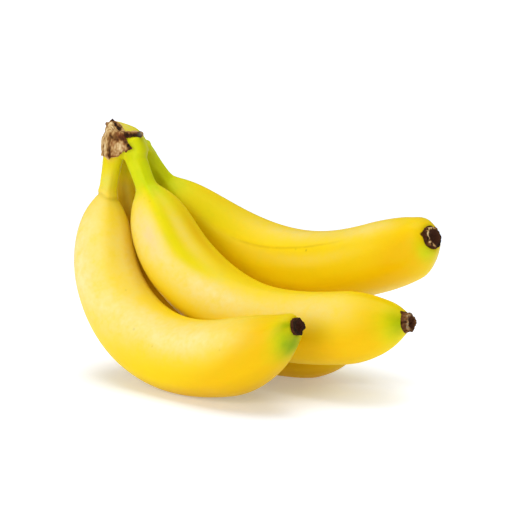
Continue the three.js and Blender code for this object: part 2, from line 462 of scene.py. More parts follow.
def surface_net(solid: np.ndarray, origin: np.ndarray, step: float) -> tuple[np.ndarray, list[list[int]]]:
    """Skins the zero level of a field of distances, negative inside.

    Args:
        solid: the field on a regular grid.
        origin: where the grid's first point is.
        step: the grid's spacing.

    Returns:
        The skin's vertices and its four-sided faces, which face outwards.
    """
    shape = np.array(solid.shape) - 1
    inside = solid < 0
    total = np.zeros((*shape, 3))
    count = np.zeros(shape)
    corner = [tuple((number >> axis) & 1 for axis in range(3)) for number in range(8)]

    def window(values: np.ndarray, shift: tuple[int, ...]) -> np.ndarray:
        """The grid seen from every cell's corner at shift."""
        return values[tuple(slice(part, part + size) for part, size in zip(shift, shape))]

    for axis in range(3):
        for start in corner:
            if start[axis]:
                continue
            end = tuple(part + (place == axis) for place, part in enumerate(start))
            low, high = window(solid, start), window(solid, end)
            crossed = window(inside, start) != window(inside, end)
            share = np.where(crossed, low / np.where(crossed, low - high, 1), 0)
            spot = np.broadcast_to(np.array(start, float), total.shape).copy()
            spot[..., axis] = share
            total += np.where(crossed[..., None], spot, 0)
            count += crossed
    used = count > 0
    number = -np.ones(shape, int)
    number[used] = np.arange(used.sum())
    cells = np.argwhere(used)
    points = (cells + total[used] / count[used][:, None]) * step + origin
    faces = []
    for axis in range(3):
        others = [place for place in range(3) if place != axis]
        here = inside[tuple(slice(1, -1) if place != axis else slice(0, -1) for place in range(3))]
        there = inside[tuple(slice(1, -1) if place != axis else slice(1, None) for place in range(3))]
        for low_in in (True, False):
            edges = np.argwhere((here != there) & (here == low_in))
            for place in others:
                edges[:, place] += 1
            ring = []
            for back in ((1, 1), (0, 1), (0, 0), (1, 0)):
                cell = edges.copy()
                for place, part in zip(others, back):
                    cell[:, place] -= part
                ring.append(number[tuple(cell.T)])
            quads = np.stack(ring, axis=1)
            outward = low_in if axis != 1 else not low_in
            faces.extend((quads if outward else quads[:, ::-1]).tolist())
    return points, faces


@dataclass
class CrownForm:
    """The smooth body that the necks and the living crown make together."""

    growths: dict[str, Growth]
    corners: Points = (
        (-72, 41.1, 128.75), (-67.6, 43.1, 127.55), (-64, 44.1, 126.05), (-60.4, 45.1, 124.55),
        (-57.8, 45.1, 121.85), (-56.6, 43.6, 118), (-67, 30.1, 120.85), (-60, 31.1, 120.35),
        (-68, 28.1, 114.35), (-59, 27.6, 113.85), (-56, 31.1, 113.35), (-52.6, 43.1, 112.8),
        (-53.2, 49.1, 112.35), (-63, 54.6, 110.85), (-73, 53.6, 109.15), (-75, 47.1, 109.15),
        (-74, 41.1, 110.35), (-72, 50.6, 121.35), (-65, 52.1, 119.85), (-58, 49.6, 118.85),
    )
    edge_rounding: float = 0.7
    swell: float = 0.7
    fillet: float = 4.5
    neck_fillet: float = 1.5
    neck_reach: float = 34.0
    line_step: float = 0.5
    # Where the living skin sinks behind the dried faces: from, to, reach and depth.
    dents: Sequence[tuple[Sequence[float], Sequence[float], float, float]] = (
        ((-67.0, 28.6, 119.8), (-62.3, 26.5, 115.4), 3.2, 1.5),
        ((-70.5, 27.2, 115.5), (-65.8, 26.8, 113.0), 3.2, 2.4),
        ((-53.3, 45.0, 116.0), (-53.0, 47.0, 113.5), 3.0, 1.1),
    )
    # The skin's colours: how lime each neck is and how far it carries, the heights between which the top
    # is painted paler as sheen, and the lines beside the lip, on the top and under the cut: darker green
    # beside the lip, peach on the top, and golden and peach with less lime under the cut.
    neck_limes: Sequence[float] = (0.4, 0.9, 1.0, 0.35)
    lime_reach: float = 2.5
    top_band: Span = (121.5, 124.5)
    beside_lip: Points = ((-70, 33, 121.6), (-57.5, 33, 121))
    beside_lip_band: Span = (2.2, 1.6)
    peach_top: Points = ((-68.4, 39, 125.6), (-65.6, 39, 125.2))
    peach_width: float = 2.6
    below_cut: Points = ((-74.5, 29.5, 109.6), (-67.5, 28, 110.2))
    below_cut_width: float = 2.2

    def __post_init__(self) -> None:
        """Works out the hull's planes and each neck's own line."""
        self.planes = hull_planes(self.corners)
        self.lines = {}
        for name, growth in self.growths.items():
            runs = np.arange(-growth.sunk, self.neck_reach, self.line_step)
            stations = growth.stations(runs)
            radii = growth.half_thickness(runs)
            self.lines[name] = (runs, stations["middle"], stations["forward"], radii)

    def neck(self, name: str, points: np.ndarray) -> tuple[np.ndarray, np.ndarray]:
        """Measures points against one neck.

        Args:
            name: whose neck.
            points: places in millimetres.

        Returns:
            The distance of each point to the neck's surface, and how far down the neck it lies.
        """
        runs, middles, forwards, radii = self.lines[name]
        nearest = np.zeros(len(points), int)
        for _ in range(2):
            gap = ((points - middles[nearest]) * forwards[nearest]).sum(axis=1)
            hop = np.round(gap / self.line_step).astype(int)
            nearest = np.clip(nearest + hop, 0, len(runs) - 1)
        offset = points - middles[nearest]
        down = (offset * forwards[nearest]).sum(axis=1)
        aside = np.sqrt(np.maximum((offset**2).sum(axis=1) - down**2, 0))
        run = runs[nearest] + down
        return np.maximum(aside - radii[nearest], -(run - runs[0])), run

    def necks(self, points: np.ndarray) -> tuple[np.ndarray, np.ndarray]:
        """Measures points against every neck, with one row per neck in both results."""
        found = [self.neck(name, points) for name in self.growths]
        return np.stack([gap for gap, _ in found]), np.stack([run for _, run in found])

    def distance(self, points: np.ndarray) -> np.ndarray:
        """Measures points against the joined body.

        Args:
            points: places in millimetres.

        Returns:
            The distance of each point to the body's surface, negative inside.
        """
        gaps, _ = self.necks(points)
        necks = gaps[0]
        for gap in gaps[1:]:
            necks = blend_union(necks, gap, self.neck_fillet)
        body = rounded_hull(points, self.planes, self.edge_rounding) - self.swell
        body = blend_union(body, necks, self.fillet)
        for start, end, reach, depth in self.dents:
            body = body + depth * bump(segment_distance(points, start, end), 0, reach)
        return body

    def nearest_run(self, points: np.ndarray) -> np.ndarray:
        """Finds how far down its nearest neck each point lies.

        Args:
            points: places in millimetres.

        Returns:
            The distance along the fruit for each point.
        """
        gaps, runs = self.necks(points)
        return np.take_along_axis(runs, gaps.argmin(axis=0)[None], axis=0)[0]

    def look(self, points: np.ndarray) -> dict[str, np.ndarray]:
        """Finds the crown skin's colours: each neck's own, and a top painted paler as sheen.

        Args:
            points: places on the skin.

        Returns:
            The tone (golden with painted shade, pale with painted sheen, blush) and the growth (lime, deep,
            stain) at each place.
        """
        gaps, _ = self.necks(points)
        weights = np.exp(-np.maximum(gaps, 0) / self.lime_reach)
        weights /= weights.sum(axis=0)
        # The top is painted paler as sheen: paler tone and less lime.
        top = smooth(points[:, 2], *self.top_band)
        near_lip = bump(segment_distance(points, *self.beside_lip), *self.beside_lip_band)
        peach = bump(segment_distance(points, *self.peach_top), 0, self.peach_width)
        under_cut = bump(segment_distance(points, *self.below_cut), 0, self.below_cut_width)
        lime = sum(own * weight for own, weight in zip(self.neck_limes, weights))
        lime = lime * (1 - 0.35 * top) * (1 - 0.6 * under_cut)
        tone = np.stack([0.3 + 0.6 * under_cut, 0.25 * top, 0.6 * peach + 0.25 * under_cut], axis=-1)
        growth = np.stack([lime, 0.12 * near_lip, np.zeros(len(points))], axis=-1)
        return {"tone": np.clip(tone, 0, 1), "growth": np.clip(growth, 0, 1)}


# ---- Finishes ----


@dataclass(frozen=True)
class PeelFinish:
    """Living banana peel: a waxy skin over soft flesh, so it has a satin gloss and lets a little light in.

    Its own colour runs from lime at the neck and the flower end through lemon to golden where it is ripest,
    with a pale waxy coat. The golden tone also stands in for painted shade on the lower and far sides, and
    the pale coat for a painted sheen where the soft highlights fall. Fine fibres run along it, and small
    brown lenticels dot it.
    """

    lemon: str = "#F1D208"
    # Golden: ripe colour, and also painted shade on the lower and far sides.
    gold_and_shade: str = "#E9B802"
    # Pale: the peel's waxy coat, and also a painted sheen where the soft highlights fall.
    bloom_and_sheen: str = "#F1DE96"
    blush: str = "#E8C48A"
    lime: str = "#CCD40A"
    deep: str = "#8CA400"
    brown: str = "#5A3510"
    roughness: float = 0.44
    roughness_swing: float = 0.12
    ior: float = 1.36
    specular: float = 0.15
    fibre_width: float = 0.8
    fibre_length: float = 14.0
    mottle_size: float = 8.0
    fleck_size: float = 2.6
    fleck_share: float = 0.6
    # The level about which the mottling swings, and how much it stirs or breaks up each tone.
    mottle_level: float = 0.8
    gold_and_shade_stir: float = 0.2
    lime_stir: float = 0.25
    deep_stir: float = 0.3
    stain_stir: float = 0.35
    bloom_and_sheen_break: float = 1.5
    blush_break: float = 1.8
    # The fibres' own level and stir.
    fibre_level: float = 0.5
    fibre_stir: float = 0.1
    # Lenticels: a cell's width, the least chance that gives it one, the largest one's share of the cell, and
    # how strong it is.
    lenticel_spacing: float = 6.5
    lenticel_chance: float = 0.8
    lenticel_reach: float = 0.07
    lenticel_strength: float = 0.22
    # The thin dark line that dries along a ridge.
    ink: str = "#C09A08"
    ink_width: float = 1.2
    ink_breaks: Span = (0.1, 0.5)
    stain_edge: Span = (0.4, 0.62)
    # The light that the flesh under the skin lets through: how much, its colour and how deep it goes.
    flesh_light: float = 0.15
    flesh_colour: tuple[float, float, float] = (1.0, 0.5, 0.1)
    flesh_depth: float = 1.6
    fibre_relief: float = 0.5
    mottle_relief: float = 0.9
    relief_strength: float = 0.3
    relief_depth: float = 0.3

    def material(self, name: str, nicks: Sequence[tuple[Sequence[float], float, float]] = ()) -> Any:
        """Makes the peel's material.

        Args:
            name: the material's name.
            nicks: small brown marks, each as its place on the straight fruit, its reach in mm and its
                strength.

        Returns:
            The new material.
        """
        peel, add = bare_material(name)
        keys = ("straight", "tone", "growth", "ridge_gap", "ink")
        read = [add("Attribute", attribute_name=key).outputs for key in keys]
        straight, tone, growth = (outputs["Vector"] for outputs in read[:3])
        ridge_gap, ink = (outputs["Fac"] for outputs in read[3:])
        gold_and_shade, bloom_and_sheen, blush = add("SeparateXYZ", {0: tone}).outputs
        lime, deep, stain = add("SeparateXYZ", {0: growth}).outputs
        squeezed = (1 / self.fibre_length, 1 / self.fibre_width, 1 / self.fibre_width)
        along = add("VectorMath", {0: straight, 1: squeezed}, operation="MULTIPLY").outputs[0]
        fibres, mottle, fleck = (
            add("TexNoise", {"Vector": where, "Scale": 1 / size, "Detail": detail}).outputs[0]
            for where, size, detail in (
                (along, 1.0, 3.0), (straight, self.mottle_size, 3.0), (straight, self.fleck_size, 2.0),
            )
        )
        cloud = add("Math", {0: fleck, 1: self.fleck_share, 2: mottle}, operation="MULTIPLY_ADD").outputs[0]

        def uneven(mask: Any, amount: float, pattern: Any, level: float, rest: float, joined: str) -> Any:
            """Works a pattern into a mask.

            Args:
                mask: the mask.
                amount: how strongly the pattern works on it.
                pattern: the pattern.
                level: the pattern's usual level, at which the mask stays as it is.
                rest: what stands for no change, 0 for a sum and 1 for a product.
                joined: "ADD" for a sum, which moves the mask's edges, or "MULTIPLY" for a product, which
                    stays empty where the mask is empty.

            Returns:
                The uneven mask.
            """
            inputs = {0: pattern, 1: amount, 2: rest - amount * level}
            swing = add("Math", inputs, operation="MULTIPLY_ADD").outputs[0]
            return add("Math", {0: mask, 1: swing}, operation=joined, use_clamp=True).outputs[0]

        def stirred(mask: Any, amount: float) -> Any:
            """A mask whose edges the mottling moves."""
            return uneven(mask, amount, cloud, self.mottle_level, 0, "ADD")

        def broken(mask: Any, amount: float) -> Any:
            """A mask that the mottling breaks up where it is strong."""
            return uneven(mask, amount, cloud, self.mottle_level, 1, "MULTIPLY")

        # The thin line is strongest on the ridge itself, and the mottling breaks it up.
        off_ridge = add("Math", {0: ridge_gap}, operation="ABSOLUTE").outputs[0]
        line = ink
        for step in ((off_ridge, 0.0, self.ink_width, 1.0, 0.0), (mottle, *self.ink_breaks, 0.0, 1.0)):
            eased = add("MapRange", dict(enumerate(step)), interpolation_type="SMOOTHSTEP").outputs[0]
            line = add("Math", {0: line, 1: eased}, operation="MULTIPLY").outputs[0]
        # Brown marks: lenticels, nicks and dried stains, each as a soft step from one strength to another.
        cells = add("TexVoronoi", {"Vector": straight, "Scale": 1 / self.lenticel_spacing}, feature="F1")
        chance = add("SeparateColor", {0: cells.outputs["Color"]}).outputs[0]
        inputs = {0: chance, 1: self.lenticel_chance, 2: 1.0, 3: 0.0, 4: self.lenticel_reach}
        reach = add("MapRange", inputs).outputs[0]
        steps = [(cells.outputs["Distance"], 0.0, reach, self.lenticel_strength, 0.0)]
        for middle, wide, strength in nicks:
            away = add("VectorMath", {0: straight, 1: middle}, operation="DISTANCE").outputs["Value"]
            steps.append((away, 0.0, wide, strength, 0.0))
        steps.append((stirred(stain, self.stain_stir), *self.stain_edge, 0.0, 1.0))
        brown = []
        for step in steps:
            eased = add("MapRange", dict(enumerate(step)), interpolation_type="SMOOTHSTEP").outputs[0]
            brown.append((eased, linear(self.brown)))
        # The golden mask here is ripe colour and painted shade.
        ripe = uneven(stirred(gold_and_shade, self.gold_and_shade_stir), self.fibre_stir, fibres, self.fibre_level, 0, "ADD")
        unripe = add("Math", {0: stirred(lime, self.lime_stir), 1: deep}, operation="MAXIMUM").outputs[0]
        inputs = {0: stirred(deep, self.deep_stir), 6: linear(self.lime), 7: linear(self.deep)}
        green = add("Mix", inputs, data_type="RGBA").outputs[2]
        colour = linear(self.lemon)
        for share, laid_over in (
            (ripe, linear(self.gold_and_shade)),
            # The pale mask: waxy coat and painted sheen.
            (broken(bloom_and_sheen, self.bloom_and_sheen_break), linear(self.bloom_and_sheen)),
            (broken(blush, self.blush_break), linear(self.blush)),
            (unripe, green),
            (line, linear(self.ink)),
            *brown,
        ):
            colour = add("Mix", {0: share, 6: colour, 7: laid_over}, data_type="RGBA").outputs[2]
        inputs = {0: mottle, 1: self.roughness_swing, 2: self.roughness - self.roughness_swing / 2}
        roughness = add("Math", inputs, operation="MULTIPLY_ADD").outputs[0]
        bumps = add("Math", {0: cloud, 1: self.mottle_relief}, operation="MULTIPLY").outputs[0]
        height = add("Math", {0: fibres, 1: self.fibre_relief, 2: bumps}, operation="MULTIPLY_ADD").outputs[0]
        inputs = {"Height": height, "Strength": self.relief_strength, "Distance": self.relief_depth * MM}
        shader = add(
            "BsdfPrincipled",
            {
                "Base Color": colour,
                "Roughness": roughness,
                "IOR": self.ior,
                "Specular IOR Level": self.specular,
                "Subsurface Weight": self.flesh_light,
                "Subsurface Radius": self.flesh_colour,
                "Subsurface Scale": self.flesh_depth * MM,
                "Normal": add("Bump", inputs).outputs[0],
            },
        )
        add("OutputMaterial", {"Surface": shader.outputs[0]})
        return peel


@dataclass(frozen=True)
class DriedFinish:
    """Dried banana tissue: fibrous and corky, so it is matt, with creases painted dark as shade and paler
    raised folds.
    """

    stops: tuple[tuple[float, str], ...] = (
        (0.0, "#140C06"), (0.22, "#40260F"), (0.45, "#84592C"), (0.7, "#C09A62"), (1.0, "#E8D09C"),
    )
    flush: str = "#8F4A28"
    grey: str = "#77796A"
    grain: float = 0.9
    grain_swing: float = 0.3
    roughness: float = 0.8
    # Dull, so that its darkest folds stay a warm near-black.
    specular: float = 0.12
    relief_strength: float = 0.5
    relief_depth: float = 0.35

    def material(self, name: str) -> Any:
        """Makes the dried tissue's material.

        Args:
            name: the material's name.

        Returns:
            The new material.
        """
        dried, add = bare_material(name)
        straight = add("Attribute", attribute_name="straight").outputs["Vector"]
        tone = add("Attribute", attribute_name="tone").outputs["Vector"]
        shade, flush, grey = add("SeparateXYZ", {0: tone}).outputs
        inputs = {"Vector": straight, "Scale": 1 / self.grain, "Detail": 4.0, "Roughness": 0.6}
        grain = add("TexNoise", inputs).outputs[0]
        inputs = {0: grain, 1: self.grain_swing, 2: -self.grain_swing / 2}
        swing = add("Math", inputs, operation="MULTIPLY_ADD").outputs[0]
        along_ramp = add("Math", {0: shade, 1: swing}, operation="ADD", use_clamp=True).outputs[0]
        ramp = add("ValToRGB", {0: along_ramp})
        steps = ramp.color_ramp.elements
        for step, (position, colour) in zip(steps, (self.stops[0], self.stops[-1])):
            step.position, step.color = position, linear(colour)
        for position, colour in self.stops[1:-1]:
            steps.new(position).color = linear(colour)
        colour = ramp.outputs[0]
        for share, laid_over in ((flush, self.flush), (grey, self.grey)):
            colour = add("Mix", {0: share, 6: colour, 7: linear(laid_over)}, data_type="RGBA").outputs[2]
        inputs = {"Height": grain, "Strength": self.relief_strength, "Distance": self.relief_depth * MM}
        shader = add(
            "BsdfPrincipled",
            {
                "Base Color": colour,
                "Roughness": self.roughness,
                "Specular IOR Level": self.specular,
                "Normal": add("Bump", inputs).outputs[0],
            },
        )
        add("OutputMaterial", {"Surface": shader.outputs[0]})
        return dried


# ---- The bananas ----


# Soft-edged patches on the peel. A row holds the distance along the fruit, the turn round it, how far the
# patch reaches along and round, and its strength.
Patches = tuple[tuple[float, float, float, float, float], ...]


@dataclass(frozen=True)
class Ripeness:
    """How one banana has ripened and is painted: where it is lime, golden, pale with its waxy coat or
    stained. Its golden patches mostly paint shade and its pale patches mostly paint sheen.

    The ridge line gives the main ridge's turn at distances along the fruit. The band of green on the ridge
    and the thin line along it each run from one distance to another, at a strength.
    """

    neck_lime: float
    lime_fades: Span
    gold_base: float
    ridge_line: tuple[Span, ...]
    gold_and_shade: Patches = ()
    bloom_and_sheen: Patches = ()
    blush: Patches = ()
    lime: Patches = ()
    deep: Patches = ()
    stain: Patches = ()
    band: tuple[float, float, float] = (0, 0, 0)
    ink: tuple[float, float, float] = (0, 0, 0)
    crease: float = 0.0
    nicks: tuple[tuple[float, float, float, float], ...] = ()

    def total(self, kind: str, run: np.ndarray, turn: np.ndarray) -> np.ndarray:
        """Adds up all the patches of one kind.

        Args:
            kind: the field that holds them.
            run: each place's distance along the fruit.
            turn: its turn round the section.

        Returns:
            How strong they are together at each place.
        """
        found = np.zeros(np.shape(run))
        for middle, side, long, wide, strength in getattr(self, kind):
            along = strength * bump(run, middle, long)
            found = found + along * bump(turn_apart(turn, side), 0, wide)
        return found


# In these tables the golden patches are mostly painted shade on the lower sides and undersides, the lowest
# banana's large golden base is partly painted shade, and the pale patches are mostly painted sheen on the
# upper and front sides.
RIPENESS = {
    "front": Ripeness(
        neck_lime=0.35, lime_fades=(16, 23), gold_base=0.17,
        ridge_line=((0, 40), (25, 44), (45, 40), (61, 44), (99, 52), (116, 54), (200, 60)),
        gold_and_shade=(
            (75, -5, 34, 24, 0.12), (178, 132, 30, 32, 0.9), (199, 104, 18, 80, 1.0),
            (196, 178, 18, 40, 1.0), (145, 165, 30, 30, 0.5), (100, 180, 60, 40, 0.3),
        ),
        bloom_and_sheen=(
            (50, 105, 26, 34, 0.7), (78, 90, 26, 34, 0.5), (100, 62, 22, 26, 0.5),
            (130, 58, 20, 26, 0.45), (160, 64, 26, 24, 0.7), (34, 66, 12, 26, 0.3),
            (45, 10, 22, 26, 0.22), (74, 6, 26, 30, 0.3), (158, 26, 30, 20, 0.32),
            (115, 34, 18, 18, 0.28), (54, 54, 16, 20, 0.25), (12, 60, 12, 40, 0.25),
        ),
        lime=((206.5, 150, 6.5, 104, 1.0),),
        deep=((207, 174, 6.5, 70, 1.0), (208.5, 78, 4.5, 24, 0.7)),
        crease=0.55,
        nicks=((114, 66, 1.4, 0.16), (86, 32, 0.9, 0.18), (131, 78, 0.9, 0.16), (176, 84, 1.0, 0.12)),
    ),
    "middle": Ripeness(
        neck_lime=0.9, lime_fades=(16, 31), gold_base=0.08,
        ridge_line=((0, 50), (46, 48), (63, 48), (80, 42), (97, 32), (120, 22), (200, 20)),
        gold_and_shade=(
            (192, 75, 16, 70, 0.6), (167, 126, 28, 42, 0.95), (63, 0, 28, 10, 0.6), (90, 160, 60, 40, 0.3),
        ),
        bloom_and_sheen=(
            (41, 108, 18, 26, 0.4), (48, 80, 15, 20, 0.55), (78, 76, 28, 24, 0.45),
            (100, 58, 24, 20, 0.55), (140, 50, 22, 24, 0.35), (165, 48, 18, 26, 0.35),
            (52, 28, 26, 14, 0.25),
        ),
        blush=((48, 82, 9, 14, 0.5), (37, 96, 9, 12, 0.25)),
        lime=((199, 88, 8, 84, 0.9), (27, 16, 15, 26, 0.55)),
        deep=((200, 120, 4.5, 40, 0.6), (198.5, 58, 5, 36, 0.6)),
        stain=((200, 20, 1.2, 14, 0.9),),
        band=(24, 112, 0.4),
        nicks=((30, 60, 1.2, 0.1), (27, 74, 1.0, 0.1)),
    ),
    "back": Ripeness(
        neck_lime=1.0, lime_fades=(14, 42), gold_base=0.16,
        ridge_line=((0, 44), (60, 38), (90, 30), (113, 22), (135, 18), (200, 18)),
        gold_and_shade=((141, 88, 34, 34, 0.12), (181, 112, 25, 42, 0.5), (190, 60, 18, 50, 0.8)),
        bloom_and_sheen=((114, -14, 38, 20, 0.35), (172, 4, 26, 18, 0.4), (130, 42, 36, 10, 0.15)),
        lime=((46, 20, 26, 40, 0.36), (198, 110, 3.5, 54, 0.8)),
        deep=((12, 84, 14, 26, 0.25),),
        stain=((199.8, 36, 2.0, 13, 1.0),),
        ink=(76, 160, 0.34),
        nicks=((126, 26, 1.1, 0.35), (118, 24, 0.8, 0.2)),
    ),
    "under": Ripeness(
        neck_lime=0.1, lime_fades=(14, 30), gold_base=0.55,
        ridge_line=((0, 40), (200, 30)),
        gold_and_shade=((150, 110, 90, 90, 0.8),),
        bloom_and_sheen=((13, 60, 18, 34, 0.15),),
        lime=((191, 60, 9, 60, 0.5),),
        stain=((194, 90, 1.6, 20, 0.9),),
    ),
}


@dataclass
class Banana:
    """One banana: its peel, with the neck, and the dried flower end."""

    name: str
    growth: Growth
    ripeness: Ripeness
    crown: CrownForm
    seed: int
    sides: int = 120
    ridge_height: float = 0.024
    neck_ridge_height: float = 0.05
    waviness: float = 0.16
    # Keeps the round peel inside the flat facets of the solid that it stands for.
    inset: float = 0.14
    fine_step: float = 0.6
    body_step: float = 1.3
    # The flower end: its sides; the tan on its rim, partly the tissue's own and partly a painted highlight on
    # the side that faces the lamps; grey streaks on that rim; its own shade; and its width beside the seat's.
    tip_sides: int = 90
    tip_tan_and_highlight: float = 0.3
    tip_grey: float = 0.0
    highlight_turn: float = 0.6
    tip_shade: float = 0.1
    tip_width: float = 0.9

    # The peel's rings: how far past the neck they stay fine, and the stretch that closes in to the seat.
    fine_past_neck: float = 12
    seat_stretch: float = 14
    seat_rings: int = 36
    # The soft ridges: how many, how sharp, how unevenly spread, and over which stretch past the neck their
    # height changes to the body's.
    ridges: int = 5
    ridge_sharpness: float = 0.3
    ridge_drift: Span = (0.02, 0.07)
    ridge_eases: Span = (-4, 30)
    wave_length: float = 34
    waves_start: Span = (2, 24)
    waves_stop: float = 12
    # The fold below the neck: how wide it is, and the swelling above it.
    crease_width: float = 0.9
    crease_swell: tuple[float, float, float] = (0.6, 2.2, 1.6)
    # Where the crown is met: how far down the neck it is looked for, the offsets that are tried, and the
    # stretches over which its lift ends, the peel's own relief starts and the peel dives under the skin.
    crown_reach: float = 26
    crown_offsets: tuple[float, float, int] = (-1.2, 5, 32)
    lift_ends: Span = (16, 26)
    relief_starts: Span = (5, 14)
    dive: float = 0.9
    dive_ends: Span = (2, 6)
    least_share: float = 0.6
    # The colours: the side turned down and away from the lamps, painted golden as shade and with pale
    # patches, the green band on the ridge, the crease below the neck, painted golden and green as shade, and
    # the crown's share.
    shaded_side_turn: float = 60
    shaded_side_from: Span = (0.2, 0.9)
    shaded_side_gold: float = 0.18
    shaded_side_pale: float = 0.22
    patch_size: float = 60
    band_width: float = 13
    band_starts: float = 12
    band_ends: float = 50
    bloom_and_sheen_ends: Span = (4, 30)
    fold_shade_width: float = 1.1
    fold_shade_gold: float = 1.3
    fold_shade_green: float = 0.45
    seat_stain: float = 0.75
    crown_colour_ends: Span = (4, 15)
    ink_starts: float = 8
    ink_ends: float = 30
    # The flower end's section from the seat over the rim into the hollow: how far forward, and its radius
    # as a share of the seat's.
    end_profile: tuple[Span, ...] = (
        (-1.6, 0.6), (-0.9, 0.85), (-0.3, 0.99), (0.2, 1.03), (0.8, 1.0), (1.5, 0.97), (2.2, 0.98),
        (2.9, 1.0), (3.4, 0.98), (3.8, 0.92), (3.9, 0.82), (3.6, 0.7), (3.0, 0.58), (2.3, 0.47),
        (1.8, 0.36), (1.6, 0.25), (1.9, 0.15), (2.2, 0.07),
    )
    end_rings: int = 64
    # Its unevenness: the length, the number and the height of the coarse and the fine waves, how far its
    # three corners and its two and five lobes stand out, where the rim is, and how far the rim is worn.
    end_rough: tuple[float, int, float] = (3.0, 30, 0.3)
    end_folds: tuple[float, int, float] = (1.3, 40, 0.22)
    end_lobes: tuple[float, float, float] = (0.05, 0.05, 0.04)
    rim_share: Span = (0.55, 0.9)
    rim_depth: Span = (0.3, 0.85)
    rim_wear: Span = (0.3, 0.35)
    rim_slack: float = 0.2
    hollow_from: float = 0.66
    edge_share: float = 0.86

    def runs(self) -> np.ndarray:
        """Spaces out the peel's rings.

        Returns:
            The distances along the fruit at which there is one.
        """
        growth = self.growth
        neck = np.arange(-growth.sunk, growth.neck_length + self.fine_past_neck, self.fine_step)
        tip_start = growth.skin_end - self.seat_stretch
        body = np.arange(neck[-1] + self.fine_step, tip_start, self.body_step)
        tip = tip_start + self.seat_stretch * np.sin(np.linspace(0, math.pi / 2, self.seat_rings))
        return np.concatenate([neck, body, tip])

    def ridge_turn(self, run: np.ndarray) -> np.ndarray:
        """The turn of the main ridge at each distance along the fruit."""
        runs, turns = zip(*self.ripeness.ridge_line)
        return np.interp(run, runs, turns)

    def ridge(self, run: np.ndarray, turn: np.ndarray) -> np.ndarray:
        """Works out the soft ridges.

        Args:
            run: distances along the fruit.
            turn: turns round the section.

        Returns:
            Their height at each place, from about -1 between them to 1 on them.
        """
        draw = np.random.default_rng(self.seed)
        angle = np.radians(turn - self.ridge_turn(run))
        drifts = zip(draw.uniform(*self.ridge_drift, 3), draw.uniform(0, TURN, 3))
        for order, (size, phase) in enumerate(drifts, 1):
            angle = angle + size * (np.sin(order * angle + phase) - math.sin(phase))
        wave = np.cos(self.ridges * angle) + self.ridge_sharpness * np.cos(2 * self.ridges * angle)
        return wave / (1 + self.ridge_sharpness)

    def directions(self, stations: dict[str, np.ndarray], turns: np.ndarray) -> np.ndarray:
        """The directions that the turns point in, for each section plane."""
        angle = np.radians(turns)[None, :, None]
        return stations["inward"][:, None] * np.cos(angle) + stations["across"][:, None] * np.sin(angle)

    def peel(self) -> Any:
        """Builds the peel.

        Returns:
            The peel's object.
        """
        growth = self.growth
        runs = self.runs()
        turns = np.arange(self.sides) * 360 / self.sides
        run, turn = np.meshgrid(runs, turns, indexing="ij")
        stations = growth.stations(runs)
        half = growth.half_thickness(runs)[:, None]
        ridge = self.ridge(run, turn)
        from_neck = run - growth.neck_length
        at_neck = 1 - smooth(from_neck, *self.ridge_eases)
        height = self.ridge_height + (self.neck_ridge_height - self.ridge_height) * at_neck
        angle = np.radians(turn)
        straight = np.stack([run, half * np.cos(angle), half * np.sin(angle)], axis=-1)
        drift = Ripple(self.seed + 1, self.wave_length, squash=(0.6, 1, 1)).at(straight)
        calm = 1 - smooth(run, growth.skin_end - self.waves_stop, growth.skin_end)
        calm = smooth(run, *self.waves_start) * calm
        radius = half * (1 + height * ridge) - self.inset + self.waviness * drift * calm
        crease, crease_run = self.ripeness.crease, self.crease_run(turn)
        swell, above, swell_width = self.crease_swell
        radius = radius - crease * bump(run, crease_run, self.crease_width)
        radius = radius + swell * crease * bump(run, crease_run - above, swell_width)
        radius = self.met_by_crown(stations, runs, turns, radius)
        directions = self.directions(stations, turns)
        points = (stations["middle"][:, None] + directions * radius[..., None]).reshape(-1, 3)
        points = np.vstack([points, stations["middle"][0], stations["middle"][-1]])
        points[:, 2] = np.maximum(points[:, 2], 0)
        marks = self.marks(run, turn, half, straight, points)
        return make_object(f"peel_{self.name}", points, tube_faces(len(runs), self.sides), marks)

    def crease_run(self, turn: np.ndarray) -> np.ndarray:
        """Where the fold between the neck and the body lies at each turn."""
        wander = 1.2 * np.sin(np.radians(turn) + 2.2)
        return self.growth.neck_length + 0.8 + wander + 0.5 * np.sin(np.radians(3 * turn))

    def met_by_crown(
        self, stations: dict[str, np.ndarray], runs: np.ndarray, turns: np.ndarray, radius: np.ndarray
    ) -> np.ndarray:
        """Swells the neck's top into the fillet that the crown makes with it.

        Args:
            stations: the section planes.
            runs: the rings' distances.
            turns: the vertices' turns.
            radius: each vertex's distance from its ring's middle.

        Returns:
            The new distances.
        """
        near = np.flatnonzero(runs < self.crown_reach)
        steps = np.linspace(*self.crown_offsets)
        middle = stations["middle"][near][:, None]
        direction = self.directions(stations, turns)[near]
        bare = self.growth.half_thickness(runs[near])[:, None]
        away = bare[..., None, None] + steps[None, None, :, None]
        probes = middle[:, :, None] + direction[:, :, None] * away
        field_there = self.crown.distance(probes.reshape(-1, 3)).reshape(probes.shape[:3])
        outside = field_there > 0
        first = np.where(outside.any(axis=-1), outside.argmax(axis=-1), len(steps) - 1)
        before = np.maximum(first - 1, 0)
        low = np.take_along_axis(field_there, before[..., None], axis=-1)[..., 0]
        high = np.take_along_axis(field_there, first[..., None], axis=-1)[..., 0]
        share = np.where(first > 0, -low / np.where(high - low > 1e-6, high - low, 1), 0)
        lift = steps[0] + (before + np.clip(share, 0, 1)) * (steps[1] - steps[0])
        lift = lift * (1 - smooth(runs[near], *self.lift_ends))[:, None]
        own = (radius[near] - bare) * smooth(runs[near], *self.relief_starts)[:, None]
        dive = self.dive * (1 - smooth(runs[near], *self.dive_ends))[:, None]
        changed = radius.copy()
        changed[near] = np.maximum(bare + own + lift - dive, self.least_share * bare)
        return changed

